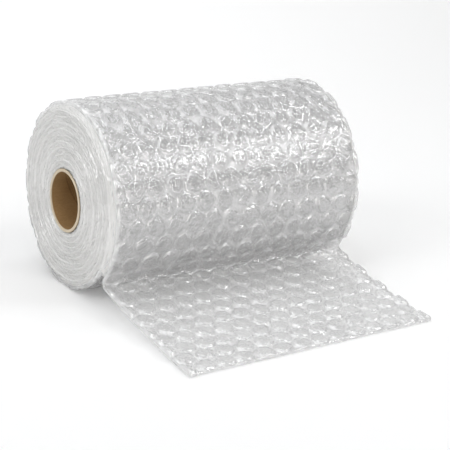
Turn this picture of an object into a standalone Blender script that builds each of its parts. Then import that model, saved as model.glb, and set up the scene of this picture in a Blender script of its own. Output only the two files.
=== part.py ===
# A roll of clear bubble film on a cardboard core, with its free end pulled out along the floor.
#
# Metres, +Z up. The roll's axis runs along X, the free end points to -Y, and everything rests
# on Z = 0. The origin is on the floor below the roll's axis, at the middle of the film's width.
#
# The film is one web from the core to its free end. It is laid out flat first, as rows of
# six-sided bubbles on a base film, trimmed at its free end, and then wound up turn by turn.
import math

import bmesh
import bpy

# Cardboard core
core_bore_diameter = 0.060
core_wall = 0.003
core_length = 0.300
core_sides = 48

# Film as it lies flat
film_width = 0.300
base_thickness = 0.0010
bubble_height = 0.0045
bubble_spacing = 0.023
bubble_top_share = 0.64

# Winding
roll_radius = 0.098
turn_gap = 0.0005
core_clearance = 0.0003
crushed_end_thickness = 0.0005
facets_per_turn = 24
flat_spot_width = 0.030
core_sag = 0.0035
sideways_weave = 0.0008
turns_per_weave = 2.7
draw_in_share = 0.024
drawn_shift = 0.003
drawn_turns = 2.5

# Free end. The release angle is measured from the top of the roll, over its front.
release_angle = math.radians(134)
release_row_share = 0.05
crease_radius = 0.007
crease_height_share = 0.7
tail_slope = math.radians(11)
tail_length = 0.176
tail_skew = 0.022
tail_drift = 0.004

# Bubbles sit in rows across the film, and each row is shifted by half a bubble from the last.
bubbles_across = round(film_width / bubble_spacing)
last_column = 2 * bubbles_across
bubble_pitch = film_width / bubbles_across
row_pitch = bubble_pitch * math.sqrt(3) / 2
full_thickness = base_thickness + bubble_height
bubble_wall_run = (1 - bubble_top_share) * bubble_pitch / 2

# Each turn lies on the one below it. The film's first end is crushed flat against the core.
core_radius = core_bore_diameter / 2 + core_wall
seat_radius = (core_radius + core_clearance) / math.cos(math.pi / facets_per_turn)
climb = (full_thickness + turn_gap) / math.tau
start_top_radius = seat_radius + crushed_end_thickness
start_face_radius = start_top_radius - bubble_height
axis_height = math.sqrt(roll_radius**2 - (flat_spot_width / 2) ** 2)
core_axis_height = axis_height - core_sag


def wound_length(turned):
    """Length of film, along the face of its base, in the first so many radians of winding."""
    return start_face_radius * turned + climb * turned**2 / 2


def wound_angle(length):
    """Radians of winding that a length of film takes up."""
    return (math.sqrt(start_face_radius**2 + 2 * climb * length) - start_face_radius) / climb


# One row of bubbles lies right under the axis, and the rows are counted from there.
bottom_angle = (roll_radius - start_top_radius) / climb
bottom_length = wound_length(bottom_angle)
wanted_release = wound_length(bottom_angle + math.pi + release_angle) - bottom_length
release_row = round(wanted_release / row_pitch - release_row_share)

# The film leaves the roll just past that row and turns back on itself in a tight crease.
release_length = bottom_length + (release_row + release_row_share) * row_pitch
release_lean = wound_angle(release_length) - bottom_angle - math.pi
crease_turn = release_lean - tail_slope
crease_length = crease_radius * crease_turn
tail_start = release_length + crease_length

# The free end is cut along the seal between two rows of bubbles.
rows_to_cut = round((tail_start + tail_length - bottom_length) / row_pitch - 1 / 2)
tail_end = bottom_length + (rows_to_cut + 1 / 2) * row_pitch

# Rows reach from just inside the last full turn to past the trimmed free end.
release_angle_wound = wound_angle(release_length)
turn_before_release = wound_length(release_angle_wound - math.tau)
rows_under_release = (bottom_length - turn_before_release) / row_pitch
first_row = -2 * math.ceil(rows_under_release / 2 - 1 / 3)
last_row = rows_to_cut + 1


def row_line(line):
    """Place along the film of a line of bubble corners. Each row has two, odd ones after it."""
    row, after = divmod(line, 2)
    return bottom_length + (row + (after - 1 / 2) * 2 / 3) * row_pitch


def roll_point(length):
    """Underside of the film on the roll: Y, Z and how far its face leans over from the top.

    The core and the turns near it hang lower, as they do in a soft roll that lies on its side.
    """
    turned = wound_angle(length)
    lean = math.pi + turned - bottom_angle
    radius = start_face_radius + climb * turned - base_thickness
    sag = core_sag * max(1 - turned / bottom_angle, 0)
    return -radius * math.sin(lean), axis_height - sag + radius * math.cos(lean), lean


def crease_point(length):
    """Underside of the film in the crease, which bends round a line in front of the roll."""
    y, z, lean = roll_point(release_length)
    bend_radius = crease_radius + base_thickness
    centre_y = y - bend_radius * math.sin(lean)
    centre_z = z + bend_radius * math.cos(lean)
    lean -= (length - release_length) / crease_radius
    return centre_y + bend_radius * math.sin(lean), centre_z - bend_radius * math.cos(lean), lean


def tail_point(length):
    """Underside of the free end, which sinks to the floor in a shallow curve."""
    y, lift, lean = crease_point(tail_start)
    run = length - tail_start
    sinking_run = 2 * lift / math.tan(tail_slope)
    left_share = max(1 - run / sinking_run, 0)
    return y - run, lift * left_share**2, math.atan(math.tan(tail_slope) * left_share)


def film_point(length):
    if length <= release_length:
        return roll_point(length)
    if length <= tail_start:
        return crease_point(length)
    return tail_point(length)


def crease_share(length):
    """How much of their height the bubbles keep: less in the crease and just beside it."""
    middle = release_length + crease_length / 2
    nearness = max(1 - abs(length - middle) / row_pitch, 0)
    return 1 - (1 - crease_height_share) * nearness


def tail_share(length):
    """How far along the free end a place is: 0 at the crease and 1 at the cut."""
    return max(length - tail_start, 0) / (tail_end - tail_start)


def placed_across(x, length):
    """The web weaves from side to side. The last turns are drawn in, and the free end spreads."""
    turned = wound_angle(min(length, release_length))
    drawn = max(1 - (release_angle_wound - turned) / (drawn_turns * math.tau), 0) ** 2
    drawn *= 1 - tail_share(length)
    weave = sideways_weave * math.sin(turned / turns_per_weave)
    drift = drawn_shift * drawn - tail_drift * tail_share(length)
    return x * (1 - draw_in_share * drawn) + weave + drift


def skewed(x, length):
    """The free end is pulled out a little askew, so its rows and its cut turn from the roll's axis."""
    turned_share = 1 - (1 - tail_share(length)) ** 2
    return tail_skew * x / film_width * turned_share


def wound(x, length, height):
    """Where a point of the flat film ends up: across the film, along it, above its underside."""
    if height > base_thickness and length > bottom_length:
        height = base_thickness + (height - base_thickness) * crease_share(length)
    y, z, lean = film_point(length)
    y += skewed(x, length) - height * math.sin(lean)
    z += height * math.cos(lean)
    radius = math.hypot(y, z - core_axis_height)
    if radius < seat_radius:
        y *= seat_radius / radius
        z = core_axis_height + (z - core_axis_height) * seat_radius / radius
    return placed_across(x, length), y, max(z, 0)


def add_inner_turns(mesh):
    """The hidden turns, each as thick as the bubbles make it. Returns the last edge corners."""
    step = math.tau / facets_per_turn
    last_angle = wound_angle(row_line(2 * first_row - 1))
    angles = [step * number for number in range(math.ceil(last_angle / step - step))]
    half = film_width / 2
    corners = None
    for angle in angles:
        length = wound_length(angle)
        places = ((-half, 0), (half, 0), (half, full_thickness), (-half, full_thickness))
        new = [mesh.verts.new((x, length, height)) for x, height in places]
        if corners:
            join_rings(mesh, corners, new)
        else:
            mesh.faces.new(new)
        corners = new
    return corners


def join_rings(mesh, near, far):
    for number, corner in enumerate(near):
        after = number + 1 - len(near)
        mesh.faces.new((near[after], corner, far[number], far[after]))


def bubble_lattice(mesh):
    """Corners of the six-sided cells, by line along the film and by half bubble across it."""
    corners = {}

    def corner(line, column):
        if (line, column) not in corners:
            x = column * bubble_pitch / 2 - film_width / 2
            corners[line, column] = mesh.verts.new((x, row_line(line), base_thickness))
        return corners[line, column]

    return corner


def add_cells(mesh, corner):
    """Every full cell of every row, to be raised into a bubble."""
    cells = []
    for row in range(first_row, last_row + 1):
        line = 2 * row
        for middle in range(1 + row % 2, last_column, 2):
            near = (corner(line, middle - 1), corner(line - 1, middle), corner(line, middle + 1))
            far = (corner(line + 1, middle + 1), corner(line + 2, middle), corner(line + 1, middle - 1))
            cells.append(mesh.faces.new(near + far))
    return cells


def add_flat_edges(mesh, corner):
    """Half cells at the slit edges of every other row. Slitting has burst them, so they lie flat."""
    for row in range(first_row + 1, last_row + 1, 2):
        line = 2 * row
        for edge, inner in ((0, 1), (last_column, last_column - 1)):
            faces = (
                (corner(line - 1, edge), corner(line, inner), corner(line, edge)),
                (corner(line, edge), corner(line, inner), corner(line + 1, inner), corner(line + 1, edge)),
                (corner(line + 1, edge), corner(line + 1, inner), corner(line + 2, edge)),
            )
            for face in faces:
                mesh.faces.new(face if edge == 0 else face[::-1])


def add_first_line(mesh, corner):
    """Flat strip between the hidden turns and the first row of bubbles. Returns its line."""
    line = 2 * first_row
    start = [corner(line - 1, 0)]
    start += [corner(line - 1, column) for column in range(1, last_column, 2)]
    start.append(corner(line - 1, last_column))
    for number in range(bubbles_across + 1):
        mesh.faces.new((start[number], start[number + 1], corner(line, 2 * number)))
    return start


def add_underside(mesh, corner, inner_end, start):
    """The smooth back of the base film, its two slit edges, and the step up to the hidden turns."""
    half = film_width / 2
    lines = range(2 * first_row - 1, 2 * last_row + 2)
    under = {}
    for line in lines:
        under[line] = [mesh.verts.new((x, row_line(line), 0)) for x in (-half, half)]
    for line in lines[1:]:
        left, right = under[line]
        near_left, near_right = under[line - 1]
        mesh.faces.new((left, right, near_right, near_left))
        mesh.faces.new((near_left, corner(line - 1, 0), corner(line, 0), left))
        mesh.faces.new((right, corner(line, last_column), corner(line - 1, last_column), near_right))
    left, right = under[lines[0]]
    top_right, top_left = (mesh.verts.new((x, row_line(lines[0]), full_thickness)) for x in (half, -half))
    mesh.faces.new((inner_end[0], inner_end[3], top_left, start[0], left))
    mesh.faces.new((right, start[-1], top_right, inner_end[2], inner_end[1]))
    mesh.faces.new((left, right, inner_end[1], inner_end[0]))
    mesh.faces.new((inner_end[3], inner_end[2], top_right, top_left))
    mesh.faces.new((top_left, top_right, *start[::-1]))


def trim_free_end(mesh):
    """The free end is cut straight across, and the cut is closed again."""
    geometry = mesh.verts[:] + mesh.edges[:] + mesh.faces[:]
    trimmed = bmesh.ops.bisect_plane(
        mesh,
        geom=geometry,
        plane_co=(0, tail_end, 0),
        plane_no=(0, 1, 0),
        clear_outer=True,
    )
    cut = [piece for piece in trimmed["geom_cut"] if isinstance(piece, bmesh.types.BMEdge)]
    bmesh.ops.edgeloop_fill(mesh, edges=cut)


def flat_film():
    mesh = bmesh.new()
    inner_end = add_inner_turns(mesh)
    corner = bubble_lattice(mesh)
    start = add_first_line(mesh, corner)
    cells = add_cells(mesh, corner)
    add_flat_edges(mesh, corner)
    add_underside(mesh, corner, inner_end, start)
    mesh.normal_update()
    bmesh.ops.inset_individual(mesh, faces=cells, thickness=bubble_wall_run, depth=bubble_height)
    trim_free_end(mesh)
    return mesh


def wind_up(mesh):
    """Winds the flat film round the core. That turns it over, so its faces are turned back."""
    for vertex in mesh.verts:
        vertex.co = wound(*vertex.co)
    bmesh.ops.reverse_faces(mesh, faces=mesh.faces)


def core_tube():
    """A paper tube with square-cut ends, turned from the outline of its wall."""
    mesh = bmesh.new()
    half = core_length / 2
    bore_radius = core_bore_diameter / 2
    outline = ((-half, bore_radius), (half, bore_radius), (half, core_radius), (-half, core_radius))
    corners = [mesh.verts.new((x, 0, radius)) for x, radius in outline]
    edges = [mesh.edges.new((corners[number - 1], corner)) for number, corner in enumerate(corners)]
    bmesh.ops.spin(
        mesh,
        geom=corners + edges,
        cent=(0, 0, 0),
        axis=(1, 0, 0),
        angle=math.tau,
        steps=core_sides,
        use_merge=True,
    )
    bmesh.ops.recalc_face_normals(mesh, faces=mesh.faces)
    return mesh


def finish(colour, roughness, clearness):
    material = bpy.data.materials.new("finish")
    material.use_nodes = True
    shader = material.node_tree.nodes["Principled BSDF"]
    shader.inputs["Base Color"].default_value = (*colour, 1)
    shader.inputs["Roughness"].default_value = roughness
    shader.inputs["Metallic"].default_value = 0
    shader.inputs["Transmission Weight"].default_value = clearness
    return material


def add_piece(name, mesh, material, sharp_angle):
    data = bpy.data.meshes.new(name)
    mesh.to_mesh(data)
    mesh.free()
    data.shade_smooth()
    data.set_sharp_from_angle(angle=sharp_angle)
    data.materials.append(material)
    piece = bpy.data.objects.new(name, data)
    bpy.context.scene.collection.objects.link(piece)
    return piece


def build():
    for old in list(bpy.data.objects):
        bpy.data.objects.remove(old)

    cardboard = finish((0.55, 0.40, 0.24), roughness=0.9, clearness=0)
    core = add_piece("cardboard_core", core_tube(), cardboard, math.radians(30))
    core.location.z = core_axis_height

    clear_film = finish((0.88, 0.89, 0.91), roughness=0.15, clearness=0.6)
    film = flat_film()
    wind_up(film)
    add_piece("bubble_film", film, clear_film, math.radians(50))


build()
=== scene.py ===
# %% [markdown]
# # A roll of clear bubble film on a cardboard core
#
# The size and the place of everything come from the CAD model, which is loaded as a fixed frame.
# This lesson adds the looks: round bubbles, the wavy edges of the turns, the film's haze and gloss,
# the paper of the core, and a small studio around them.

# %% Load the fixed frame
import math

import bpy
import numpy as np
from mathutils import Matrix, Vector


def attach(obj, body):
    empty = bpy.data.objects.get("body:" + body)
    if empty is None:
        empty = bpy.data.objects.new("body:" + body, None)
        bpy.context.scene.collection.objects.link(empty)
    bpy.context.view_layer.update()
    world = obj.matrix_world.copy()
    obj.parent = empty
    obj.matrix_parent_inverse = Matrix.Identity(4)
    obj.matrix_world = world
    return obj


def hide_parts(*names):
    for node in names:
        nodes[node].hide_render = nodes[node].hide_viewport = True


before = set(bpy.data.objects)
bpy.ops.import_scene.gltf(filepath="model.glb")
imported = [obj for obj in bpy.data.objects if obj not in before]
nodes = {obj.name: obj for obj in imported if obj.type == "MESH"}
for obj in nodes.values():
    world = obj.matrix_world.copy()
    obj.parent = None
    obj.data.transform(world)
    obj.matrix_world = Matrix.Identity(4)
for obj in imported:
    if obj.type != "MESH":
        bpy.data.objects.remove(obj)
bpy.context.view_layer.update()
print("CAD pieces:", ", ".join(sorted(nodes)))

# %% [markdown]
# ## Camera
#
# A long lens from the left and a little above makes the roll look calm, with its two ends almost
# the same size. The numbers below put the lens where the round ends, the core and the corners of
# the free end all fall in their places in a square picture.

# %% Camera
picture_width = 450
focal_length_in_pixels = 1712.7
camera_turn, camera_rise, camera_roll = math.radians(-33.25), math.radians(17.98), math.radians(3.37)
camera_distance = 1.8748
camera_target = Vector((0.04835, 0.0, 0.042))

back = Vector(
    (
        math.sin(camera_turn) * math.cos(camera_rise),
        -math.cos(camera_turn) * math.cos(camera_rise),
        math.sin(camera_rise),
    )
)
right = Vector((math.cos(camera_turn), math.sin(camera_turn), 0))
up = back.cross(right)
right, up = (
    right * math.cos(camera_roll) + up * math.sin(camera_roll),
    up * math.cos(camera_roll) - right * math.sin(camera_roll),
)

camera_data = bpy.data.cameras.new("camera")
camera_data.sensor_width = 36
camera_data.lens = focal_length_in_pixels * camera_data.sensor_width / picture_width
camera = bpy.data.objects.new("camera", camera_data)
camera.matrix_world = Matrix.Translation(camera_target + back * camera_distance) @ (
    Matrix((right, up, back)).transposed().to_4x4()
)
bpy.context.scene.collection.objects.link(camera)
bpy.context.scene.camera = camera
print("lens", round(camera_data.lens, 1), "mm, from", [round(value, 3) for value in camera.location])

# %% [markdown]
# ## Studio
#
# A pale floor with a pale sweep behind it, and a soft lamp in front and to the right, whose
# reflection makes the bright band along the roll. Broad soft lamps overhead, from the left and low in
# front light the rest, the one overhead a touch blue and the low one a touch warm. A few small lamps
# sparkle in the crinkles of the film. The floor and the sweep look white to the lens, to glossy
# surfaces and through clear ones, the more so farther back, yet they light the roll only as pale
# paper does.

# %% Floor and sweep
floor_size = 9.0
sweep_distance = 2.6
sweep_radius = 0.9
sweep_steps = 12
sweep_height = 3.0
floor_front = -1.8 * sweep_distance
floor_drop = 0.0002


def add_primitive(name, primitive, **values):
    """Adds a primitive with nothing else selected, and names it."""
    bpy.ops.object.select_all(action="DESELECT")
    primitive(**values)
    piece = bpy.context.object
    piece.name = name
    piece.data.name = name
    return piece


floor = add_primitive("floor", bpy.ops.mesh.primitive_plane_add, size=1)
side_view = [(floor_front, 0), (sweep_distance - sweep_radius, 0)]
for step in range(1, sweep_steps + 1):
    angle = math.pi / 2 * step / sweep_steps
    y = sweep_distance - sweep_radius * (1 - math.sin(angle))
    side_view.append((y, sweep_radius * (1 - math.cos(angle))))
side_view.append((sweep_distance, sweep_height))
half_floor = floor_size / 2
sides = [(side * half_floor, y, z - floor_drop) for y, z in side_view for side in (-1, 1)]
strips = [(n, n + 1, n + 3, n + 2) for n in range(0, len(sides) - 2, 2)]
floor.data.clear_geometry()
floor.data.from_pydata(sides, [], strips)
floor.data.shade_smooth()
print("floor and sweep of", len(strips), "strips")


# %% White backdrop material
def new_material(name):
    """An empty material with its output node, its nodes and its links at hand."""
    material = bpy.data.materials.new(name)
    material.use_nodes = True
    tree = material.node_tree
    tree.nodes.clear()
    return material, tree, tree.nodes.new("ShaderNodeOutputMaterial")


def node(tree, kind, **values):
    """A node of the given kind. Values set its own settings, or its inputs by their names."""
    made = tree.nodes.new("ShaderNode" + kind)
    for name, value in values.items():
        title = name.replace("_", " ")
        if hasattr(made, name):
            setattr(made, name, value)
        else:
            made.inputs[title].default_value = value
    return made


def math_node(tree, operation, first, second):
    """One sum on two sockets or numbers."""
    made = tree.nodes.new("ShaderNodeMath")
    made.operation = operation
    for number, value in enumerate((first, second)):
        if isinstance(value, (int, float)):
            made.inputs[number].default_value = value
        else:
            tree.links.new(value, made.inputs[number])
    return made.outputs[0]


paper_tint = (0.85, 0.85, 0.85, 1)
near_glow = 0.11
far_glow = 0.58
whiter_from = -0.5
whitest_from = 1.8
paper, tree, output = new_material("studio_paper")
plain = tree.nodes.new("ShaderNodeBsdfDiffuse")
plain.inputs["Color"].default_value = paper_tint
glow = tree.nodes.new("ShaderNodeEmission")
away = node(tree, "SeparateXYZ")
tree.links.new(node(tree, "TexCoord").outputs["Object"], away.inputs[0])
far_share = node(tree, "MapRange", interpolation_type="SMOOTHSTEP", To_Min=near_glow, To_Max=far_glow)
far_share.inputs["From Min"].default_value = whiter_from
far_share.inputs["From Max"].default_value = whitest_from
tree.links.new(away.outputs["Y"], far_share.inputs["Value"])
tree.links.new(far_share.outputs[0], glow.inputs["Strength"])
lit = tree.nodes.new("ShaderNodeAddShader")
tree.links.new(plain.outputs[0], lit.inputs[0])
tree.links.new(glow.outputs[0], lit.inputs[1])
ray = tree.nodes.new("ShaderNodeLightPath")
seen = math_node(tree, "MAXIMUM", ray.outputs["Is Camera Ray"], ray.outputs["Is Glossy Ray"])
seen = math_node(tree, "MAXIMUM", seen, ray.outputs["Is Transmission Ray"])
choice = tree.nodes.new("ShaderNodeMixShader")
tree.links.new(seen, choice.inputs["Fac"])
tree.links.new(plain.outputs[0], choice.inputs[1])
tree.links.new(lit.outputs[0], choice.inputs[2])
tree.links.new(choice.outputs[0], output.inputs["Surface"])
floor.data.materials.append(paper)
print("floor and sweep finished as", paper.name)


# %% Lamps and world
roll_middle = (0, 0, 0.1)
white = (1, 1, 1)
cool_white = (0.97, 0.985, 1)
warm_white = (1, 0.98, 0.95)
spark_size = 0.09
spark_radiance = 32.0
world_glow = 0.18


def add_soft_lamp(name, place, width, height, radiance, colour):
    """A flat lamp that faces the roll, with the brightness that its own surface shows."""
    data = bpy.data.lights.new(name, "AREA")
    data.shape = "RECTANGLE"
    data.size = width
    data.size_y = height
    data.energy = radiance * math.pi * width * height
    data.color = colour
    lamp = bpy.data.objects.new(name, data)
    direction = Vector(roll_middle) - Vector(place)
    lamp.matrix_world = Matrix.Translation(place) @ direction.to_track_quat("-Z", "Y").to_matrix().to_4x4()
    bpy.context.scene.collection.objects.link(lamp)


add_soft_lamp("front_lamp", (0.78, -0.75, 1.05), width=0.9, height=0.45, radiance=2.3, colour=white)
add_soft_lamp("top_lamp", (-0.2, 0.5, 2.0), width=2.2, height=1.6, radiance=1.55, colour=cool_white)
add_soft_lamp("left_lamp", (-1.5, -0.4, 1.2), width=0.9, height=0.8, radiance=4.4, colour=white)
add_soft_lamp("fill_lamp", (-0.3, -2.2, 0.4), width=1.6, height=0.7, radiance=2.5, colour=warm_white)
small_lamps = {
    "left": (-1.0, -0.7, 1.3),
    "back": (0.0, 1.00, 1.75),
    "overhead": (0.55, 0.10, 1.60),
    "overhead_left": (-0.45, -0.50, 1.55),
    "right": (1.25, 0.20, 1.45),
    "front": (0.25, -1.10, 1.55),
    "key_left": (0.58, -0.88, 1.12),
    "key_right": (0.98, -0.58, 1.02),
    "key_low": (0.80, -0.86, 0.82),
    "low_front": (0.10, -1.60, 0.75),
    "floor_middle": (0.25, -1.75, 0.42),
    "floor_right": (1.05, -1.45, 0.42),
    "far_right": (1.60, -0.70, 0.70),
}
for name, place in small_lamps.items():
    add_soft_lamp(name + "_spark", place, spark_size, spark_size, spark_radiance, white)
world = bpy.data.worlds.new("studio")
world.use_nodes = True
world.node_tree.nodes["Background"].inputs["Color"].default_value = (1, 1, 1, 1)
world.node_tree.nodes["Background"].inputs["Strength"].default_value = world_glow
bpy.context.scene.world = world
bpy.context.scene.view_settings.view_transform = "Standard"

# %% [markdown]
# ## The web of film, and how it is wound
#
# Bubble film is one long web. It is wound into a spiral, leaves the roll at its lower front in a
# sharp crease and sinks to the floor. It is easiest to model flat, and the Curve modifier could
# then bend it along a spiral. A small calculation does it better here, because it also keeps the
# first turns off the core and presses the lowest bubbles flat on the floor, just as in the CAD.

# %% The web's numbers, as in the CAD
film_width = 0.300
base_thickness = 0.0010
bubble_height = 0.0045
bubble_spacing = 0.023
roll_radius = 0.098
turn_gap = 0.0005
core_radius = 0.033
core_clearance = 0.0003
crushed_end_thickness = 0.0005
facets_per_turn = 24
flat_spot_width = 0.030
core_sag = 0.0035
sideways_weave = 0.0008
turns_per_weave = 2.7
draw_in_share = 0.024
drawn_shift = 0.003
drawn_turns = 2.5
release_angle = math.radians(134)
release_row_share = 0.05
crease_radius = 0.007
crease_height_share = 0.7
tail_slope = math.radians(11)
tail_length = 0.176
tail_skew = 0.022
tail_drift = 0.004

bubbles_across = round(film_width / bubble_spacing)
bubble_pitch = film_width / bubbles_across
row_pitch = bubble_pitch * math.sqrt(3) / 2
full_thickness = base_thickness + bubble_height
seat_radius = (core_radius + core_clearance) / math.cos(math.pi / facets_per_turn)
climb = (full_thickness + turn_gap) / math.tau
start_top_radius = seat_radius + crushed_end_thickness
start_face_radius = start_top_radius - bubble_height
axis_height = math.sqrt(roll_radius**2 - (flat_spot_width / 2) ** 2)
core_axis_height = axis_height - core_sag


def wound_length(turned):
    """Length of film in the first so many radians of winding."""
    return start_face_radius * turned + climb * turned**2 / 2


def wound_angle(length):
    """Radians of winding that a length of film takes up."""
    return (np.sqrt(start_face_radius**2 + 2 * climb * np.maximum(length, 0)) - start_face_radius) / climb


bottom_angle = (roll_radius - start_top_radius) / climb
bottom_length = wound_length(bottom_angle)
wanted_release = wound_length(bottom_angle + math.pi + release_angle) - bottom_length
release_row = round(wanted_release / row_pitch - release_row_share)
release_length = bottom_length + (release_row + release_row_share) * row_pitch
release_angle_wound = float(wound_angle(release_length))
release_lean = release_angle_wound - bottom_angle - math.pi
crease_turn = release_lean - tail_slope
tail_start = release_length + crease_radius * crease_turn
rows_to_cut = round((tail_start + tail_length - bottom_length) / row_pitch - 1 / 2)
tail_end = bottom_length + (rows_to_cut + 1 / 2) * row_pitch
turn_before_release = wound_length(release_angle_wound - math.tau)
first_row = -2 * math.ceil((bottom_length - turn_before_release) / row_pitch / 2 - 1 / 3)
last_row = rows_to_cut + 1
print("web of", round(tail_end, 2), "m, with outer rows", first_row, "to", last_row)


# %% The film's path on the roll, in the crease and on the floor
def turn_centre(turned):
    """Height of the middle of a turn. The core and the turns near it hang a little lower."""
    return axis_height - core_sag * np.clip(1 - turned / bottom_angle, 0, None)


def roll_path(length):
    """Underside of the film on the roll: Y, Z and how far it leans over from the top."""
    turned = wound_angle(length)
    lean = math.pi + turned - bottom_angle
    radius = start_face_radius + climb * turned - base_thickness
    return -radius * np.sin(lean), turn_centre(turned) + radius * np.cos(lean), lean


def crease_path(length):
    """Underside of the film in the crease."""
    y, z, lean = roll_path(np.full_like(length, release_length))
    bend_radius = crease_radius + base_thickness
    centre_y = y - bend_radius * np.sin(lean)
    centre_z = z + bend_radius * np.cos(lean)
    lean = lean - (length - release_length) / crease_radius
    return centre_y + bend_radius * np.sin(lean), centre_z - bend_radius * np.cos(lean), lean


def tail_path(length):
    """Underside of the free end, which sinks to the floor."""
    y, lift, _ = crease_path(np.full_like(length, tail_start))
    run = length - tail_start
    sinking_run = 2 * lift / math.tan(tail_slope)
    left_share = np.clip(1 - run / sinking_run, 0, 1)
    return y - run, lift * left_share**2, np.arctan(math.tan(tail_slope) * left_share)


def film_path(length):
    """Underside of the film anywhere along the web."""
    on_roll = roll_path(np.minimum(length, release_length))
    in_crease = crease_path(np.clip(length, release_length, tail_start))
    on_floor = tail_path(np.maximum(length, tail_start))
    return [
        np.where(length <= release_length, a, np.where(length <= tail_start, b, c))
        for a, b, c in zip(on_roll, in_crease, on_floor)
    ]


# %% From side to side, and the height of the bubbles in the crease
def crease_share(length):
    """How much of their height the bubbles keep in the crease and beside it."""
    middle = release_length + crease_radius * crease_turn / 2
    nearness = np.clip(1 - np.abs(length - middle) / row_pitch, 0, 1)
    return 1 - (1 - crease_height_share) * nearness


def tail_share(length):
    """How far along the free end a place is: 0 at the crease and 1 at the cut."""
    return np.clip(length - tail_start, 0, None) / (tail_end - tail_start)


def placed_across(across, length):
    """The web weaves from side to side. The last turns are drawn in, and the free end spreads."""
    turned = wound_angle(np.minimum(length, release_length))
    drawn = np.clip(1 - (release_angle_wound - turned) / (drawn_turns * math.tau), 0, None) ** 2
    drawn = drawn * (1 - np.minimum(tail_share(length), 1))
    weave = sideways_weave * np.sin(turned / turns_per_weave)
    drift = drawn_shift * drawn - tail_drift * tail_share(length)
    return across * (1 - draw_in_share * drawn) + weave + drift


def skewed(across, length):
    """The free end is pulled out a little askew."""
    turned_share = 1 - (1 - np.minimum(tail_share(length), 1)) ** 2
    return tail_skew * across / film_width * turned_share


# %% Winding a flat piece of web
smallest_radius = 1e-6


def read_points(piece):
    """The points of a piece's mesh, one row for each."""
    points = np.empty(len(piece.data.vertices) * 3, np.float32)
    piece.data.vertices.foreach_get("co", points)
    return points.reshape(-1, 3).astype(float)


def write_points(piece, points):
    """Moves the points of a piece's mesh to new places."""
    piece.data.vertices.foreach_set("co", np.ascontiguousarray(points, np.float32).ravel())
    piece.data.update()


def off_the_core(y, z):
    """Points that would lie in the core are pushed out to its surface."""
    radius = np.hypot(y, z - core_axis_height)
    push = np.maximum(seat_radius / np.maximum(radius, smallest_radius), 1)
    return y * push, core_axis_height + (z - core_axis_height) * push


def wind_up(piece):
    """Winds a flat piece of web, X across, Y along and Z up, into its place in the roll."""
    across, length, height = read_points(piece).T
    raised = (height > base_thickness) & (length > bottom_length)
    squashed = base_thickness + (height - base_thickness) * crease_share(length)
    height = np.where(raised, squashed, height)
    y, z, lean = film_path(length)
    y = y + skewed(across, length) - height * np.sin(lean)
    z = z + height * np.cos(lean)
    y, z = off_the_core(y, z)
    write_points(piece, np.stack((placed_across(across, length), y, np.maximum(z, 0)), axis=1))
    piece.data.flip_normals()
    piece.data.update()


# %% [markdown]
# ## One bubble
#
# Each bubble is a low pillow: the film leaves the seal in a soft curve, climbs, and rounds over into a
# broad top. Around it the two films are sealed together up to the six-sided line that it shares with
# its neighbours. A six-sided circle is the start: its sides are subdivided, it is inset, the inset
# ring is rounded into a circle, and extrusions raise the pillow. A poke closes the top.

# %% One bubble cell
cell_corner_radius = bubble_pitch / math.sqrt(3)
bubble_radius_share = 0.475
bubble_radius = bubble_radius_share * bubble_pitch
first_inset = 0.001

# Each pair is a ring's share of the bubble's radius and its share of the height.
fine_profile = (
    (0.96, 0.06),
    (0.92, 0.18),
    (0.87, 0.38),
    (0.82, 0.60),
    (0.76, 0.79),
    (0.68, 0.93),
    (0.52, 0.99),
)
plain_profile = ((0.92, 0.17), (0.83, 0.52), (0.74, 0.83), (0.56, 0.97))


def ring_move(share, rise):
    """Extrudes the selected face, scales it about the cell's middle and lifts it."""
    bpy.ops.mesh.extrude_region_move(TRANSFORM_OT_translate={"value": (0, 0, rise)})
    bpy.ops.transform.resize(value=(share, share, 1), center_override=(0, 0, 0))


def selected_radii(piece):
    """Distances of the selected points from the cell's middle, in edit mode."""
    piece.update_from_editmode()
    return [math.hypot(*vertex.co.xy) for vertex in piece.data.vertices if vertex.select]


def bubble_cell(name, side_cuts, profile):
    """One six-sided cell of the web with its bubble. Side cuts make its circle finer."""
    cell = add_primitive(
        name, bpy.ops.mesh.primitive_circle_add, vertices=6, radius=cell_corner_radius, fill_type="NOTHING"
    )
    bpy.ops.object.mode_set(mode="EDIT")
    bpy.ops.mesh.select_all(action="SELECT")
    bpy.ops.mesh.subdivide(number_cuts=side_cuts)
    bpy.ops.mesh.select_all(action="SELECT")
    bpy.ops.mesh.edge_face_add()
    bpy.ops.mesh.duplicate_move(TRANSFORM_OT_translate={"value": (0, 0, base_thickness)})
    bpy.ops.mesh.inset(thickness=first_inset)
    bpy.ops.transform.tosphere(value=1)
    ring_share = bubble_radius / max(selected_radii(cell))
    bpy.ops.transform.resize(value=(ring_share, ring_share, 1), center_override=(0, 0, 0))
    last_share, last_rise = 1, 0
    for share, rise in profile:
        ring_move(share / last_share, (rise - last_rise) * bubble_height)
        last_share, last_rise = share, rise
    bpy.ops.mesh.poke(offset=(1 - last_rise) * bubble_height)
    bpy.ops.object.mode_set(mode="OBJECT")
    cell.data.polygons.foreach_set("use_smooth", [True] * len(cell.data.polygons))
    return cell


# %% [markdown]
# ## A stretch of flat web
#
# Rows of bubbles are shifted by half a bubble from one to the next. One Array modifier lays out
# one row, another the other, and a last one repeats the pair along the web. The slit edges are
# cut with Bisect, so every other row ends in half a bubble, and the cut edges are closed by
# extruding them down to the underside.


# %% Laying out and trimming
weld_distance = 0.00002


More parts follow.
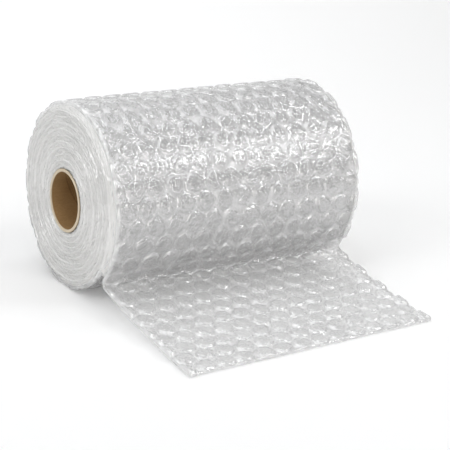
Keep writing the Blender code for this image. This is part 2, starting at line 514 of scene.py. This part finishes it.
def repeat(piece, offset, count):
    """Applies an Array modifier with a fixed step."""
    bpy.ops.object.select_all(action="DESELECT")
    piece.select_set(True)
    bpy.context.view_layer.objects.active = piece
    array = piece.modifiers.new("repeat", "ARRAY")
    array.use_relative_offset = False
    array.use_constant_offset = True
    array.constant_offset_displace = offset
    array.count = count
    bpy.ops.object.modifier_apply(modifier=array.name)


def shift(piece, x, y):
    """Moves a piece's mesh across and along, and leaves its object at the origin."""
    piece.data.transform(Matrix.Translation((x, y, 0)))


def join(first, second):
    """Makes two pieces one."""
    bpy.ops.object.select_all(action="DESELECT")
    first.select_set(True)
    second.select_set(True)
    bpy.context.view_layer.objects.active = first
    bpy.ops.object.join()
    return first


def trim(piece, place, outwards):
    """Cuts the web with a plane and drops what lies beyond it."""
    bpy.ops.mesh.select_all(action="SELECT")
    bpy.ops.mesh.bisect(plane_co=place, plane_no=outwards, clear_outer=True)


def select_open_edges():
    """Selects the edges that have a face on one side only."""
    bpy.ops.mesh.select_all(action="DESELECT")
    bpy.ops.mesh.select_mode(type="EDGE")
    bpy.ops.mesh.select_non_manifold(
        extend=False,
        use_wire=False,
        use_boundary=True,
        use_multi_face=False,
        use_non_contiguous=False,
        use_verts=False,
    )


def close_edges(piece):
    """Takes the cut edges of the bubble side down to the underside and welds them."""
    select_open_edges()
    bpy.ops.object.mode_set(mode="OBJECT")
    heights = read_points(piece)[:, 2]
    for edge in piece.data.edges:
        if edge.select and max(heights[point] for point in edge.vertices) < base_thickness / 2:
            edge.select = False
    for vertex in piece.data.vertices:
        vertex.select = False
    bpy.ops.object.mode_set(mode="EDIT")
    bpy.ops.mesh.extrude_edges_move()
    bpy.ops.transform.resize(value=(1, 1, 0), center_override=(0, 0, 0))
    bpy.ops.mesh.select_all(action="SELECT")
    bpy.ops.mesh.remove_doubles(threshold=weld_distance)
    bpy.ops.mesh.normals_make_consistent(inside=False)


# %% Flat web
def flat_web(name, rows, columns, side_cuts, profile):
    """Web between two even rows. Columns counts half bubbles from the left edge, as in the CAD."""
    start, end = rows
    left, right_side = columns
    made = []
    for odd in (0, 1):
        first = left + 1 - odd
        count = len(range(first, right_side + 1, 2))
        row = bubble_cell(name + "_row", side_cuts, profile)
        repeat(row, (bubble_pitch, 0, 0), count)
        shift(row, first * bubble_pitch / 2 - film_width / 2, bottom_length + (start + odd) * row_pitch)
        made.append(row)
    web = join(*made)
    repeat(web, (0, 2 * row_pitch, 0), math.ceil((end - start) / 2))
    web.name = name
    web.data.name = name
    bpy.ops.object.mode_set(mode="EDIT")
    bpy.ops.mesh.select_all(action="SELECT")
    bpy.ops.mesh.remove_doubles(threshold=weld_distance)
    for side in (-1, 1):
        trim(web, (side * film_width / 2, 0, 0), (side, 0, 0))
    trim(web, (0, tail_end, 0), (0, 1, 0))
    close_edges(web)
    bpy.ops.object.mode_set(mode="OBJECT")
    print(name, len(web.data.polygons), "faces")
    return web


# %% [markdown]
# ## No two bubbles are alike
#
# Real bubbles hold more or less air, lean a little and have puckered walls. The sealed film between
# them is never quite flat: it bridges the low places between three bubbles and ripples gently. Beside
# the slit edges the bubbles of the roll are pressed lower, which rounds its shoulders. Each point
# finds the bubble that it belongs to and takes that bubble's own share of these changes.

# %% Which bubble a point belongs to
least_gain = 1e-7


def nearest_bubble(across, length):
    """Row and column of each point's bubble, the point's offset from its middle, and the distance."""
    best = None
    guess = np.round((length - bottom_length) / row_pitch)
    for row in (guess - 1, guess, guess + 1):
        odd = np.mod(row, 2)
        column = 2 * np.round(((across + film_width / 2) / (bubble_pitch / 2) - 1 + odd) / 2) + 1 - odd
        off_x = across - (column * bubble_pitch / 2 - film_width / 2)
        off_y = length - bottom_length - row * row_pitch
        found = [row, column, off_x, off_y, np.hypot(off_x, off_y)]
        if best is None:
            best = found
        else:
            nearer = found[-1] < best[-1] - least_gain
            best = [np.where(nearer, new, old) for new, old in zip(found, best)]
    return best


# %% Numbers and waves that look random
traits = (
    "fullness",
    "slackness",
    "lean_across",
    "lean_along",
    "folds",
    "fine_folds",
    "fold_start",
    "fine_fold_start",
    "dimple",
    "density",
    "oval_start",
    "three_sided_start",
    "stray_across",
    "stray_along",
)
row_mix, column_mix, trait_mix = 12.9898, 78.233, 37.719
mix_scale = 43758.5453
waves_in_a_ripple = 4
turn_per_wave, phase_per_wave = 2.4, 5.1
first_wave_scale, scale_per_wave = 0.7, 0.23
ripple_level = 2.6


def own_number(row, column, trait):
    """A bubble's number from 0 to 1 for a trait. It looks random but is the same each time."""
    kind = traits.index(trait) + 1
    mixed = np.sin(row * row_mix + column * column_mix + kind * trait_mix) * mix_scale
    return mixed - np.floor(mixed)


def smooth_step(low, high, value):
    """Goes from 0 to 1 between two values, with soft ends."""
    share = np.clip((value - low) / (high - low), 0, 1)
    return share * share * (3 - 2 * share)


def ripple(across, length, size, start):
    """A gentle uneven wave over the web, from about -1 to 1."""
    total = 0
    for number in range(waves_in_a_ripple):
        turn = turn_per_wave * number + start
        scale = math.tau / size * (first_wave_scale + scale_per_wave * number)
        along = across * math.cos(turn) + length * math.sin(turn)
        total = total + np.sin(scale * along + phase_per_wave * number + start)
    return total / ripple_level


# %% [markdown]
# ## What each point tells the finish
#
# A material can read values that the points of a mesh carry. Here these are how near a point is to a
# bubble's wall and to its foot, whether it is on a top or on the seal round it, how near it is to a
# slit edge, and a number of its bubble. A UV map of the flat web, in metres, makes patterns follow the
# film through its bends.

# %% Values for the finish
wall_from, wall_to = 0.64, 0.80
foot_from, foot_to = 0.90, 1.0
foot_reach, foot_width = 0.93, 0.07
seal_from, seal_to = 0.68, 0.94
slit_from, slit_to = film_width / 2 - 0.005, film_width / 2 - 0.0005


def store_value(piece, name, values):
    """Keeps one number for each point."""
    attribute = piece.data.attributes.new(name, "FLOAT", "POINT")
    attribute.data.foreach_set("value", np.ascontiguousarray(values, np.float32))


def store_web_map(piece, across, along):
    """Makes a UV map of the flat web, in metres."""
    layer = piece.data.uv_layers.new(name="web")
    corner_points = np.empty(len(piece.data.loops), np.int32)
    piece.data.loops.foreach_get("vertex_index", corner_points)
    places = np.stack((across[corner_points], along[corner_points]), axis=1)
    layer.data.foreach_set("uv", np.ascontiguousarray(places, np.float32).ravel())


def store_finish(piece, across, length, reach, top_side, density):
    """Keeps all the values. Reach is a point's distance from its bubble's middle, in bubble radii."""
    wall = smooth_step(wall_from, wall_to, reach) * (1 - smooth_step(foot_from, foot_to, reach)) * top_side
    store_value(piece, "wall", wall)
    store_value(piece, "seal", smooth_step(seal_from, seal_to, reach))
    # The foot ring carries painted shade in the film's colour, where each bubble meets its seal, and a
    # denser alpha.
    store_value(piece, "foot", np.exp(-(((reach - foot_reach) / foot_width) ** 2)) * top_side)
    store_value(piece, "slit", smooth_step(slit_from, slit_to, np.abs(across)))
    store_value(piece, "bubble_number", density)
    store_web_map(piece, across, length - bottom_length)


# %% Uneven bubbles
seal_bridge = 0.0022
seal_bridge_start = 0.48 * bubble_pitch
shoulder_run = 0.012
shoulder_share = 0.55
slack_bubbles = 0.10
slack_fullness = 0.72
fewest_folds, more_folds = 4, 4
fewest_fine_folds, more_fine_folds = 8, 5
fine_fold_share = 0.7
fold_range = 6.28
puckers_from, puckers_to = 0.35, 0.75
dimple_depth, dimple_reach = 0.10 * bubble_height, 0.6
highest_rise = 1.06 * bubble_height
between_from, between_to = 0.93, 1.02
broad_ripple, broad_ripple_size, broad_ripple_start = 0.00020, 0.023, 1.3
fine_ripple, fine_ripple_size, fine_ripple_start = 0.00016, 0.011, 4.2
outline_from, outline_to = 1.005, 1.02
oval_share, three_sided_share = 0.05, 0.035
smaller_outline = 0.03
stray_range = 0.0006
straight_edge_width = 0.001


def make_uneven(piece, least_height, lean_share, pucker):
    """Gives each bubble its own height, lean, outline and puckers, and the seals a gentle ripple."""
    points = read_points(piece)
    across, length, height = points.T.copy()
    row, column, off_x, off_y, distance = nearest_bubble(across, length)
    reach = distance / bubble_radius
    bearing = np.arctan2(off_y, off_x)
    rise = np.clip(height - base_thickness, 0, None)
    top_side = height > base_thickness / 2

    def own(trait):
        """The bubble's own number for a trait."""
        return own_number(row, column, trait)

    def wave_round(folds, trait):
        """A wave round the bubble, which starts at the bubble's own place."""
        return np.sin(folds * bearing + fold_range * own(trait))

    fullness = least_height + (1 - least_height) * own("fullness")
    fullness = np.where(own("slackness") < slack_bubbles, fullness * slack_fullness, fullness)
    shoulder = smooth_step(film_width / 2 - shoulder_run, film_width / 2, np.abs(across))
    shoulder = shoulder * (1 - smooth_step(tail_start - row_pitch, tail_start + row_pitch, length))
    fullness = fullness * (1 - (1 - shoulder_share) * shoulder)
    lean_x = lean_share * (own("lean_across") - 0.5) * off_x / bubble_radius
    lean_y = lean_share * (own("lean_along") - 0.5) * off_y / bubble_radius

    puckers = wave_round(fewest_folds + np.floor(more_folds * own("folds")), "fold_start")
    fine_folds = fewest_fine_folds + np.floor(more_fine_folds * own("fine_folds"))
    puckers = puckers + fine_fold_share * wave_round(fine_folds, "fine_fold_start")
    on_wall = smooth_step(puckers_from, puckers_to, reach) * (1 - smooth_step(foot_from, foot_to, reach))
    new_rise = rise * fullness * (1 + lean_x + lean_y) + pucker * puckers * on_wall * (rise > 0)
    dimple = dimple_depth * own("dimple") * (1 - smooth_step(0, dimple_reach, reach))
    new_rise = np.where(rise > 0, np.clip(new_rise - dimple, 0, highest_rise), 0)
    new_rise = new_rise * (1 - seal_bridge / bubble_height)

    bridge = seal_bridge * (1 - smooth_step(seal_bridge_start, cell_corner_radius, distance))
    seal = broad_ripple * ripple(across, length, broad_ripple_size, broad_ripple_start)
    seal = seal + fine_ripple * ripple(across, length, fine_ripple_size, fine_ripple_start)
    seal = seal * smooth_step(between_from, between_to, reach)
    points[:, 2] = np.where(top_side, base_thickness + new_rise + bridge + seal, height)

    inside = top_side * (1 - smooth_step(outline_from, outline_to, reach))
    inside = inside * (np.abs(across) < film_width / 2 - straight_edge_width)
    outline = oval_share * wave_round(2, "oval_start")
    outline = outline + three_sided_share * wave_round(3, "three_sided_start") - smaller_outline
    points[:, 0] += off_x * outline * inside + stray_range * (own("stray_across") - 0.5) * inside
    points[:, 1] += off_y * outline * inside + stray_range * (own("stray_along") - 0.5) * inside
    write_points(piece, points)
    store_finish(piece, points[:, 0], points[:, 1], reach, top_side, own("density"))


# %% [markdown]
# ## Clear film
#
# Thin film is see-through face on and bright where a lamp reflects in it. Many layers on each other
# look milky. One Principled shader gives the haze and the gloss, and its Alpha lets the layers
# below show. Its IOR is higher than that of the real plastic, because one surface stands for the many
# that mirror the lamps in a real bubble. The broad tops are clear and a little grey. Walls and seals
# are creased, so they are whiter and denser, and small crinkles all over catch the light.
# A thin dark ring at each bubble's foot is painted shade, standing in for the shade in the crease there.

# %% Small helpers for shader nodes
def mixed_colour(tree, share, first, second):
    """A colour between two others."""
    ramp = tree.nodes.new("ShaderNodeValToRGB")
    ramp.color_ramp.elements[0].color = (*first, 1)
    ramp.color_ramp.elements[1].color = (*second, 1)
    tree.links.new(share, ramp.inputs["Fac"])
    return ramp.outputs["Color"]


def stretched(tree, value, low, high):
    """Stretches 0 to 1 out to low to high."""
    return math_node(tree, "ADD", math_node(tree, "MULTIPLY", value, high - low), low)


def with_share(tree, total, value, share):
    """A total with so much of a value added."""
    return math_node(tree, "ADD", total, math_node(tree, "MULTIPLY", value, share))


def with_sway(tree, total, value, amount):
    """A total that a value from 0 to 1 sways by up to the amount, down or up."""
    return math_node(tree, "ADD", total, stretched(tree, value, -amount, amount))


def noise(tree, place, drawn_out=None, **values):
    """A noise pattern, which a scale for each direction draws out."""
    pattern = node(tree, "TexNoise", **values)
    if drawn_out:
        mapping = node(tree, "Mapping", vector_type="POINT", Scale=drawn_out)
        tree.links.new(place, mapping.inputs["Vector"])
        place = mapping.outputs[0]
    tree.links.new(place, pattern.inputs["Vector"])
    return pattern.outputs["Fac"]


def point_value(tree, name):
    """A value that the points of the film keep."""
    return node(tree, "Attribute", attribute_name=name).outputs["Fac"]


# %% Crinkles
crinkle_depth = 0.0017
fine_crease_share = 0.05
streak_share = 0.35


def crinkles(tree, place, amount):
    """Soft waves, streaks and fine creases, as a surface that is no longer smooth."""
    waves = noise(tree, place, Scale=165.0, Detail=1.0, Roughness=0.4, Distortion=0.4)
    ridged = "RIDGED_MULTIFRACTAL"
    creases = noise(tree, place, noise_type=ridged, Scale=240.0, Detail=1.0, Roughness=0.5)
    streaks = noise(tree, place, drawn_out=(3.2, 0.7, 1), Scale=150.0, Detail=1.0, Roughness=0.5)
    height = with_share(tree, waves, creases, fine_crease_share)
    height = with_share(tree, height, streaks, streak_share)
    height = math_node(tree, "MULTIPLY", height, amount)
    bump = node(tree, "Bump", Strength=1.0, Distance=crinkle_depth)
    tree.links.new(height, bump.inputs["Height"])
    return bump.outputs["Normal"]


# %% Clear film
# The foot share darkens a thin ring where each bubble meets its seal: painted shade in that crease.
cloud_tint, foot_painted_shade, scratch_tint = 0.5, -1.1, 0.4
foot_density, slit_density = 0.12, 0.30
bubble_density, cloud_density, scratch_density = 0.07, 0.15, 0.09
smoother, rougher = 0.03, 0.05
seal_crinkle_share = 0.75


def clear_film(name, top, seal, wall_alpha, gloss, roughness, crinkle):
    """Film with a colour and an alpha for the bubbles' tops, and another pair for the seals."""
    material, tree, output = new_material(name)
    shader = node(tree, "BsdfPrincipled", IOR=gloss)
    place = node(tree, "UVMap", uv_map="web").outputs[0]
    names = ("wall", "seal", "foot", "slit", "bubble_number")
    wall, on_seal, foot, slit, number = [point_value(tree, each) for each in names]
    cloud = noise(tree, place, Scale=70.0, Detail=4.0, Roughness=0.6)
    scratches = noise(tree, place, drawn_out=(2.5, 0.6, 1), Scale=230.0, Detail=2.0, Roughness=0.6)

    whiteness = with_sway(tree, on_seal, cloud, cloud_tint)
    # Painted shade: a thin darker ring at each bubble's foot.
    whiteness = with_share(tree, whiteness, foot, foot_painted_shade)
    whiteness = math_node(tree, "ADD", whiteness, slit)
    whiteness = with_sway(tree, whiteness, scratches, scratch_tint)
    tree.links.new(mixed_colour(tree, whiteness, top[:3], seal[:3]), shader.inputs["Base Color"])

    density = stretched(tree, on_seal, top[3], seal[3])
    density = with_share(tree, density, wall, wall_alpha - seal[3])
    density = with_share(tree, density, foot, foot_density)
    density = with_share(tree, density, slit, slit_density)
    density = with_sway(tree, density, number, bubble_density)
    density = with_sway(tree, density, cloud, cloud_density)
    density = with_sway(tree, density, scratches, scratch_density)
    tree.links.new(density, shader.inputs["Alpha"])

    uneven_gloss = stretched(tree, cloud, roughness - smoother, roughness + rougher)
    tree.links.new(uneven_gloss, shader.inputs["Roughness"])
    amount = stretched(tree, on_seal, crinkle, seal_crinkle_share * crinkle)
    tree.links.new(crinkles(tree, place, amount), shader.inputs["Normal"])
    tree.links.new(shader.outputs[0], output.inputs["Surface"])
    return material


# %% Four kinds of film
outer_film = clear_film(
    "clear_outer_film",
    top=(0.65, 0.65, 0.65, 0.31),
    seal=(0.92, 0.92, 0.92, 0.38),
    wall_alpha=0.48,
    gloss=4.0,
    roughness=0.13,
    crinkle=1.0,
)
inner_film = clear_film(
    "clear_inner_film",
    top=(0.68, 0.68, 0.68, 0.45),
    seal=(0.95, 0.95, 0.95, 0.60),
    wall_alpha=0.72,
    gloss=3.4,
    roughness=0.12,
    crinkle=1.0,
)
edge_film = clear_film(
    "slit_film_edges",
    top=(0.84, 0.835, 0.82, 1.2),
    seal=(0.94, 0.935, 0.925, 1.2),
    wall_alpha=1.2,
    gloss=2.3,
    roughness=0.13,
    crinkle=0.8,
)
heart_film = clear_film(
    "milky_film",
    top=(0.88, 0.875, 0.865, 1.2),
    seal=(0.88, 0.875, 0.865, 1.2),
    wall_alpha=1.2,
    gloss=1.6,
    roughness=0.2,
    crinkle=0.5,
)
print("films:", ", ".join(film.name for film in (outer_film, inner_film, edge_film, heart_film)))


# %% [markdown]
# ## The pieces of the roll
#
# The outermost turn and the free end are one fine web. The turn below it shows through, so it has
# bubbles too. It is a little narrower, so that its cut edges stay behind those of the turns. Of the
# turns further in, only the strips along the two slit edges can be seen.

# %% Outer turn and free end
rows_in_a_turn = 30
last_column = 2 * bubbles_across
outer_web = flat_web("film_outer_web", (first_row, last_row + 1), (0, last_column), 2, fine_profile)
make_uneven(outer_web, least_height=0.58, lean_share=0.20, pucker=0.00024)
wind_up(outer_web)
outer_web.data.materials.append(outer_film)

# %% The turn below
second_first_row = first_row - rows_in_a_turn
second_turn_share = 0.975
second_rows = (second_first_row, first_row)
second_turn = flat_web("film_second_turn", second_rows, (0, last_column), 1, plain_profile)
make_uneven(second_turn, least_height=0.65, lean_share=0.2, pucker=0.0003)
second_turn.data.transform(Matrix.Diagonal((second_turn_share, 1, 1, 1)))
wind_up(second_turn)
second_turn.data.materials.append(inner_film)

# %% [markdown]
# ## The slit edges of all the turns
#
# At the roll's ends, the turns further in show only their slit edges: a straight line of base film and
# a wavy line of bubble film for each turn, pressed close together. One long grid is wound into the
# spiral for each end, a turn's thickness wide, and its lines stand out from it as low ridges. Near
# the core the film's first end is crumpled. In the last turn below the outer web the ridges get lower
# and lie a little deeper, so that the web makes the roll's rim.

# %% Waves and ridges of the slit edges
steps_per_turn = 216
steps_across_turn = 12
line_waviness = 0.0005
line_relief = 0.0016
base_line_width = 0.11
bubble_line_width = 0.10
bubble_line_share = 0.85
bubble_line_sway, sways_per_row = 0.2, 0.93
bubble_line_drift, drift_turn_per_row = 0.1, 2.1
fine_lines_per_turn, fine_line_share = 4, 0.22
fine_line_sway, fine_turn_per_row = 2, 1.7
fade_turns = 1.6
faded_share = 0.5
recess_behind_web = 0.0003
crumple_depth, crumple_size, crumple_start = 0.0012, 0.008, 2.2
fully_crumpled_turns, last_crumpled_turn = 0.3, 1.6
slow_wave_depth, slow_wave_size, slow_wave_start = 0.0006, 0.05, 0.7
edge_width = 0.006

# Each wave has its share, its turn for each row of bubbles, and its start.
stray_waves = ((1.0, 3.1, 0.0), (0.8, 1.27, 1.0), (0.8, 0.43, 2.0))


def turn_wave(turned):
    """How far a turn's line strays up or down from a true spiral."""
    rows = wound_length(turned) / row_pitch
    wave = 0
    for share, turn_per_row, start in stray_waves:
        wave = wave + share * np.sin(rows * turn_per_row + start)
    return line_waviness * wave / 2


def last_share(outward):
    """Grows from 0 to 1 over the turn below the outer web."""
    full_at = release_angle_wound - math.tau
    return smooth_step(release_angle_wound - fade_turns * math.tau, full_at, outward)


def ridges(share, rows):
    """A turn's two lines, and the fine lines between them, as shares of the base film line's height."""
    base_line = np.exp(-((np.minimum(share, 1 - share) / base_line_width) ** 2))
    sway = bubble_line_sway * np.sin(rows * math.tau * sways_per_row)
    middle = 0.5 + sway + bubble_line_drift * np.sin(rows * drift_turn_per_row)
    bubble_line = bubble_line_share * np.exp(-(((share - middle) / bubble_line_width) ** 2))
    fine_sway = fine_line_sway * np.sin(rows * fine_turn_per_row)
    fine_lines = np.sin(share * math.tau * fine_lines_per_turn + fine_sway)
    return np.maximum(base_line, bubble_line), fine_line_share * fine_lines


def edge_depth(turned, share):
    """How deep each place lies behind the slit edge of the base film."""
    along = wound_length(turned)
    outward = turned + share * math.tau
    lines, fine_lines = ridges(share, along / row_pitch)
    last_turns = last_share(outward)
    depth = line_relief * (1 - lines + fine_lines) * (1 - faded_share * last_turns)
    crumpled = 1 - smooth_step(fully_crumpled_turns, last_crumpled_turn, outward / math.tau)
    crumple = crumple_depth * crumpled * ripple(outward * edge_width, along, crumple_size, crumple_start)
    slow_wave = slow_wave_depth * ripple(share * edge_width, along, slow_wave_size, slow_wave_start)
    return depth + crumple + recess_behind_web * last_turns + slow_wave * np.sin(share * math.pi)


# %% Slit edges
least_recess = 0.0002
seal_line_width = 0.15
density_waves = 7
edge_map_width, edge_map_step = 0.03, 0.05
rim_into_roll = 0.0015


def close_spiral(strip, side):
    """Welds each turn to the next, and takes the open rims a little way into the roll."""
    bpy.ops.object.mode_set(mode="EDIT")
    bpy.ops.mesh.select_all(action="SELECT")
    bpy.ops.mesh.remove_doubles(threshold=weld_distance)
    select_open_edges()
    bpy.ops.mesh.extrude_edges_move(TRANSFORM_OT_translate={"value": (-rim_into_roll * side, 0, 0)})
    bpy.ops.object.mode_set(mode="OBJECT")
    normals = np.empty(len(strip.data.polygons) * 3, np.float32)
    strip.data.polygons.foreach_get("normal", normals)
    if normals[::3].sum() * side < 0:
        strip.data.flip_normals()
    strip.data.polygons.foreach_set("use_smooth", [True] * len(strip.data.polygons))


def slit_edges(name, side):
    """The ends of all turns at one end of the roll. Side is -1 for the left and 1 for the right."""
    step = math.tau / steps_per_turn
    steps = math.floor((release_angle_wound - math.tau) / step)
    grid = {"x_subdivisions": steps, "y_subdivisions": steps_across_turn, "size": 1}
    strip = add_primitive(name, bpy.ops.mesh.primitive_grid_add, **grid)
    flat = read_points(strip)
    turned = (flat[:, 0] + 0.5) * steps * step
    share = flat[:, 1] + 0.5
    outward = turned + share * math.tau
    stray = (1 - share) * turn_wave(turned) + share * turn_wave(turned + math.tau)
    stray = stray * (1 - last_share(outward))
    radius = start_face_radius + climb * outward - base_thickness + stray
    lean = math.pi + turned - bottom_angle
    y, z = off_the_core(-radius * np.sin(lean), turn_centre(outward) + radius * np.cos(lean))
    x = placed_across(side * film_width / 2, wound_length(outward))
    x = x - side * np.maximum(edge_depth(turned, share), least_recess)
    write_points(strip, np.stack((x, y, z), axis=1))
    for value_name in ("wall", "foot", "slit"):
        store_value(strip, value_name, np.zeros(len(x)))
    store_value(strip, "seal", np.exp(-((np.minimum(share, 1 - share) / seal_line_width) ** 2)))
    store_value(strip, "bubble_number", 0.5 + 0.5 * np.sin(turned * density_waves))
    store_web_map(strip, share * edge_map_width + edge_map_step * turned, wound_length(turned))
    close_spiral(strip, side)
    strip.data.materials.append(edge_film)
    print(strip.name, len(strip.data.polygons), "faces")
    return strip


left_edges = slit_edges("film_left_edges", -1)
right_edges = slit_edges("film_right_edges", 1)

# %% [markdown]
# ## The milky middle of the roll
#
# The many layers of film between the core and the second turn look milky and hide the core. They are
# one ring that fills that room: a cylinder whose two ends are inset to the core's size, moved down to
# the core's middle and bridged into a bore.

# %% The milky middle of the roll
heart_recess = 0.006
heart_inset = 0.0022
heart_core_gap = 0.0002
heart_sides = 96
second_turn_angle = float(wound_angle(bottom_length + second_first_row * row_pitch))
heart_radius = start_face_radius + climb * second_turn_angle - heart_inset
heart_height = float(turn_centre(second_turn_angle))
heart = add_primitive(
    "film_heart",
    bpy.ops.mesh.primitive_cylinder_add,
    vertices=heart_sides,
    radius=heart_radius,
    depth=film_width - 2 * heart_recess,
    end_fill_type="NGON",
    location=(0, 0, heart_height),
    rotation=(0, math.pi / 2, 0),
)
bpy.ops.object.transform_apply(location=True, rotation=True, scale=True)
bpy.ops.object.mode_set(mode="EDIT")
bpy.ops.mesh.select_mode(type="FACE")
bpy.ops.mesh.select_all(action="DESELECT")
bpy.ops.object.mode_set(mode="OBJECT")
for face in heart.data.polygons:
    face.select = len(face.vertices) > 4
bpy.ops.object.mode_set(mode="EDIT")
bpy.ops.mesh.inset(thickness=heart_radius - seat_radius - heart_core_gap)
bpy.ops.transform.translate(value=(0, 0, core_axis_height - heart_height))
bpy.ops.mesh.bridge_edge_loops()
bpy.ops.object.mode_set(mode="OBJECT")
heart.data.materials.append(heart_film)
print("middle of", len(heart.data.polygons), "faces")

# %% Everything rides on the one body
for piece in (outer_web, second_turn, left_edges, right_edges, heart):
    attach(piece, "root")
    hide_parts("bubble_film")

# %% [markdown]
# ## Cardboard of the core
#
# The core is a tube of brown paper strips, wound in a long screw line, so a fine seam runs round it.
# Fibres and blotches vary its brown, and the cut rim is paler and fuzzy. The CAD tube keeps its form
# and only gets this finish, which follows the tube's own length and angle.

# %% Cardboard
paper_strip_width = 0.085
seam_from, seam_to = 0.004, 0.012
seam_shade = -0.35
blotch_shade = 0.3
rim_depth = 0.0012
dark_brown, light_brown = (0.25, 0.14, 0.050), (0.50, 0.31, 0.135)
dark_cut, light_cut = (0.62, 0.50, 0.34), (0.88, 0.78, 0.62)
smoothest_paper, roughest_paper = 0.7, 0.95
fibre_depth = 0.0002


def over_the_core(tree, place):
    """Distance along the core, and the angle round it from 0 to 1."""
    axes = node(tree, "SeparateXYZ")
    tree.links.new(place, axes.inputs[0])
    height = math_node(tree, "SUBTRACT", axes.outputs["Z"], core_axis_height)
    angle = math_node(tree, "ARCTAN2", height, axes.outputs["Y"])
    return axes.outputs["X"], math_node(tree, "DIVIDE", angle, math.tau)


def fade(tree, value, start, end, first, second):
    """Goes from the first number to the second while the value goes from start to end."""
    made = node(tree, "MapRange", To_Min=first, To_Max=second)
    made.inputs["From Min"].default_value = start
    made.inputs["From Max"].default_value = end
    tree.links.new(value, made.inputs["Value"])
    return made.outputs[0]


def cardboard_finish():
    """Brown paper with a screw-line seam, fibres and blotches, and a paler cut rim."""
    material, tree, output = new_material("core_cardboard")
    shader = node(tree, "BsdfPrincipled")
    place = node(tree, "TexCoord").outputs["Object"]
    along, angle = over_the_core(tree, place)
    winding = math_node(tree, "ADD", math_node(tree, "DIVIDE", along, paper_strip_width), angle)
    from_seam = math_node(tree, "SUBTRACT", math_node(tree, "FRACT", winding, 0), 0.5)
    from_seam = math_node(tree, "ABSOLUTE", from_seam, 0)
    seam = fade(tree, from_seam, seam_from, seam_to, 1.0, 0.0)
    fibres = noise(tree, place, drawn_out=(0.35, 1, 1), Scale=900.0, Detail=4.0, Roughness=0.7)
    blotches = noise(tree, place, Scale=60.0, Detail=3.0)
    shade = with_sway(tree, fibres, blotches, blotch_shade)
    shade = with_share(tree, shade, seam, seam_shade)

    from_middle = math_node(tree, "ABSOLUTE", along, 0)
    end = film_width / 2
    rim = fade(tree, from_middle, end - rim_depth, end - rim_depth / 3, 0.0, 1.0)
    colour = node(tree, "Mix", data_type="RGBA")
    tree.links.new(rim, colour.inputs[0])
    tree.links.new(mixed_colour(tree, shade, dark_brown, light_brown), colour.inputs[6])
    tree.links.new(mixed_colour(tree, fibres, dark_cut, light_cut), colour.inputs[7])
    tree.links.new(colour.outputs[2], shader.inputs["Base Color"])

    dry = stretched(tree, fibres, smoothest_paper, roughest_paper)
    tree.links.new(dry, shader.inputs["Roughness"])
    bump = node(tree, "Bump", Strength=0.6, Distance=fibre_depth)
    tree.links.new(math_node(tree, "SUBTRACT", fibres, seam), bump.inputs["Height"])
    tree.links.new(bump.outputs[0], shader.inputs["Normal"])
    tree.links.new(shader.outputs[0], output.inputs["Surface"])
    return material


cardboard = cardboard_finish()
core = nodes["cardboard_core"]
for slot in core.material_slots:
    slot.material = cardboard
print("core finished as", cardboard.name)
